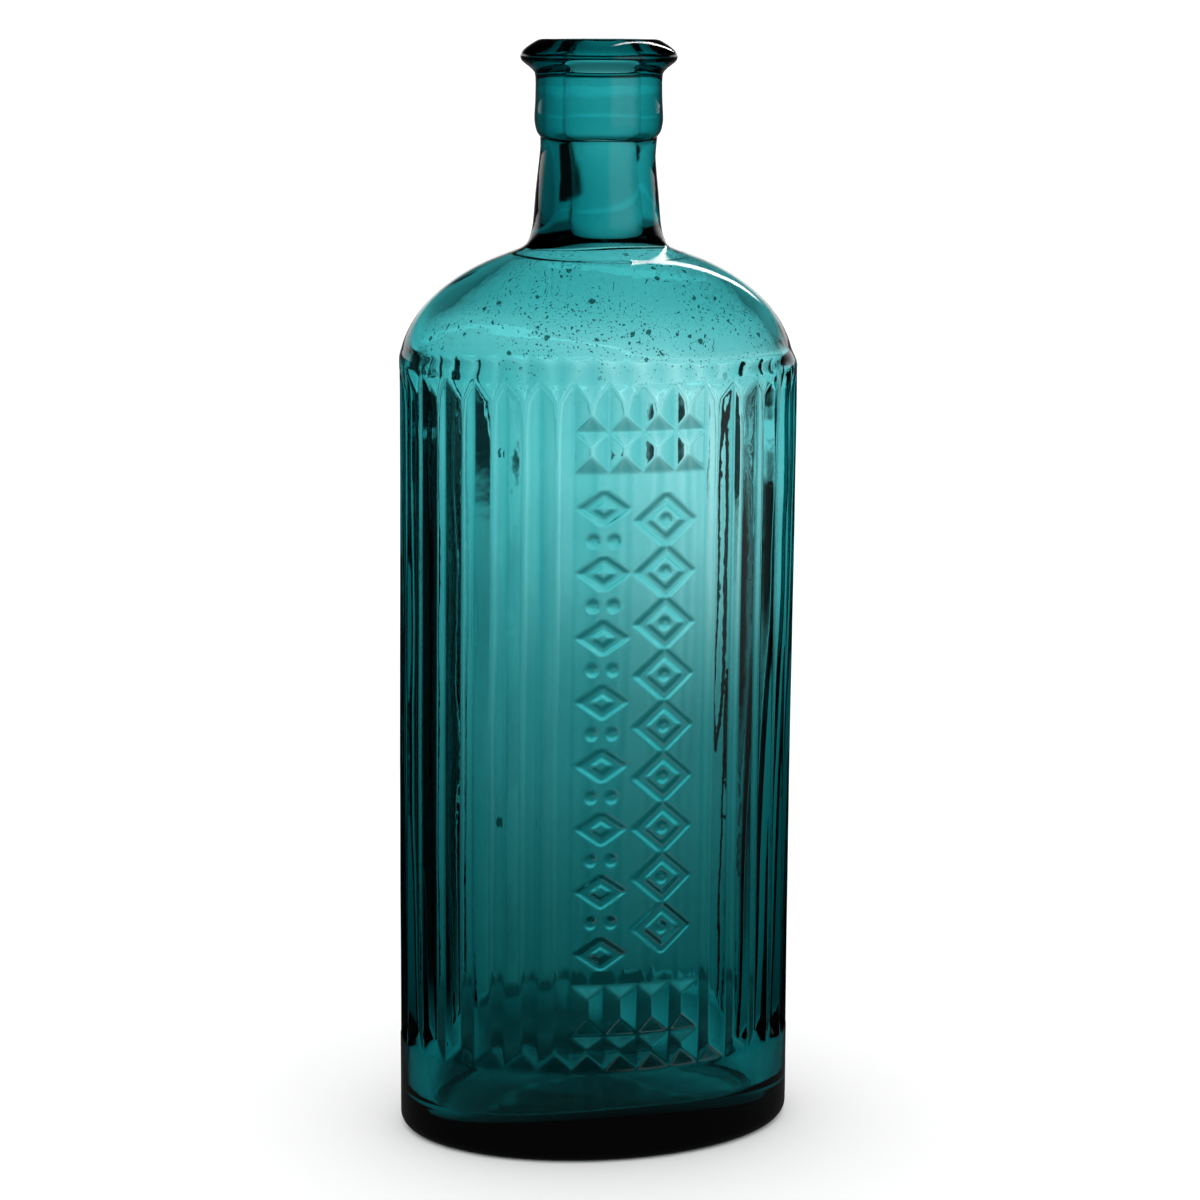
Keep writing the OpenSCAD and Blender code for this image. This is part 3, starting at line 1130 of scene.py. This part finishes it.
def painted_shade_card_material():
    """An emission card that only the glass sees, painted with light and shade by distance in metres from
    the bottle's axis: dark close by, standing in for the bottle's shadow, and the room's glow farther
    off.
    """
    material, bench = new_material("painted_shade_and_glow_in_glass")
    place = bench.put("ShaderNodeTexCoord").outputs["Object"]
    x, y, _ = bench.put("ShaderNodeSeparateXYZ", {0: place}).outputs
    squares = bench.math("ADD", bench.math("POWER", x, 2.0), bench.math("POWER", y, 2.0))
    far = bench.math("SQRT", squares)
    light = by_path(bench, painted_shade_and_glow_bent(bench, x, y, far), painted_sheen_and_glow_mirrored(bench, x, y, far))
    # The card glows with this painted light and shade, though it is no lamp.
    shader = bench.put("ShaderNodeEmission", {"Color": WHITE, "Strength": light}).outputs[0]
    bench.put("ShaderNodeOutputMaterial", {"Surface": shader})
    return material


# ---------------------------------------------------------------- operators


class BOTTLE_OT_body(bpy.types.Operator):
    """Blows the oval body, with its shoulder and neck, and presses the flutes and the ornament"""

    bl_idname = "bottle.body"
    bl_label = "Bottle body"

    def execute(self, context):
        body = press_body(body_blank("bottle_body_glass"), glass_material("teal_body_glass", 1.0))
        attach(body, "root")
        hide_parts("bottle_body")
        return {"FINISHED"}


class BOTTLE_OT_lip(bpy.types.Operator):
    """Tools the applied lip onto the neck"""

    bl_idname = "bottle.lip"
    bl_label = "Applied lip"

    def execute(self, context):
        lip = tool_lip(lip_blank("applied_lip_glass"), glass_material("teal_lip_glass", 0.0))
        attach(lip, "root")
        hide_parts("applied_lip")
        return {"FINISHED"}


class BOTTLE_OT_studio(bpy.types.Operator):
    """Sets out the floor, the light and the camera"""

    bl_idname = "bottle.studio"
    bl_label = "Studio"

    # Sets out the floor, the light, a card of painted light and shade for the glass, and the camera
    def execute(self, context):
        scene = context.scene
        studio = settings().studio
        scene.world = studio_world()
        scene.view_settings.view_transform = "Standard"
        floor = disc("floor", 0.0, floor_material())
        floor.visible_transmission = False
        floor.visible_glossy = False
        # A card of painted light and shade that only the glass sees: dark close to the bottle for its
        # shadow, with a glowing ring round the foot.
        painted_shade_card = disc("painted_shade_card", -0.1 * MM, painted_shade_card_material())
        painted_shade_card.visible_camera = False
        painted_shade_card.visible_diffuse = False
        painted_shade_card.visible_shadow = False

        data = bpy.data.cameras.new("camera")
        data.sensor_width = 36.0
        data.lens = studio.lens
        data.shift_x = studio.shift
        data.clip_start = 0.02
        data.clip_end = 100.0
        camera = bpy.data.objects.new("camera", data)
        turn = Matrix.Rotation(studio.turn, 4, "Z")
        tilt = Matrix.Rotation(math.pi / 2 - studio.tilt, 4, "X")
        roll = Matrix.Rotation(studio.roll, 4, "Z")
        place = turn @ Vector((0.0, -studio.distance, studio.height))
        camera.matrix_world = Matrix.Translation(place) @ turn @ tilt @ roll
        scene.collection.objects.link(camera)
        scene.camera = camera
        return {"FINISHED"}


class BOTTLE_PT_panel(bpy.types.Panel):
    """Lists the pieces of the bottle"""

    bl_idname = "BOTTLE_PT_panel"
    bl_label = "Fluted bottle"
    bl_space_type = "VIEW_3D"
    bl_region_type = "UI"
    bl_category = "Bottle"

    def draw(self, context):
        for operator in OPERATORS:
            self.layout.operator(operator.bl_idname)
        for group in ("flutes", "ornament", "walls", "glass", "studio"):
            part = getattr(context.scene.bottle, group)
            box = self.layout.box()
            for key in part.__annotations__:
                box.prop(part, key)


OPERATORS = (BOTTLE_OT_body, BOTTLE_OT_lip, BOTTLE_OT_studio)
GROUPS = (FluteSizes, OrnamentSizes, WallSizes, GlassLook, StudioSizes, BottleSettings)
CLASSES = GROUPS + OPERATORS + (BOTTLE_PT_panel,)


def register():
    """Adds the classes and the scene's settings."""
    for made in CLASSES:
        bpy.utils.register_class(made)
    bpy.types.Scene.bottle = PointerProperty(type=BottleSettings)


def unregister():
    """Takes them away again."""
    del bpy.types.Scene.bottle
    for made in reversed(CLASSES):
        bpy.utils.unregister_class(made)


def main():
    """Builds the bottle and its studio."""
    register()
    bpy.ops.bottle.body()
    bpy.ops.bottle.lip()
    bpy.ops.bottle.studio()


if __name__ == "__main__":
    main()
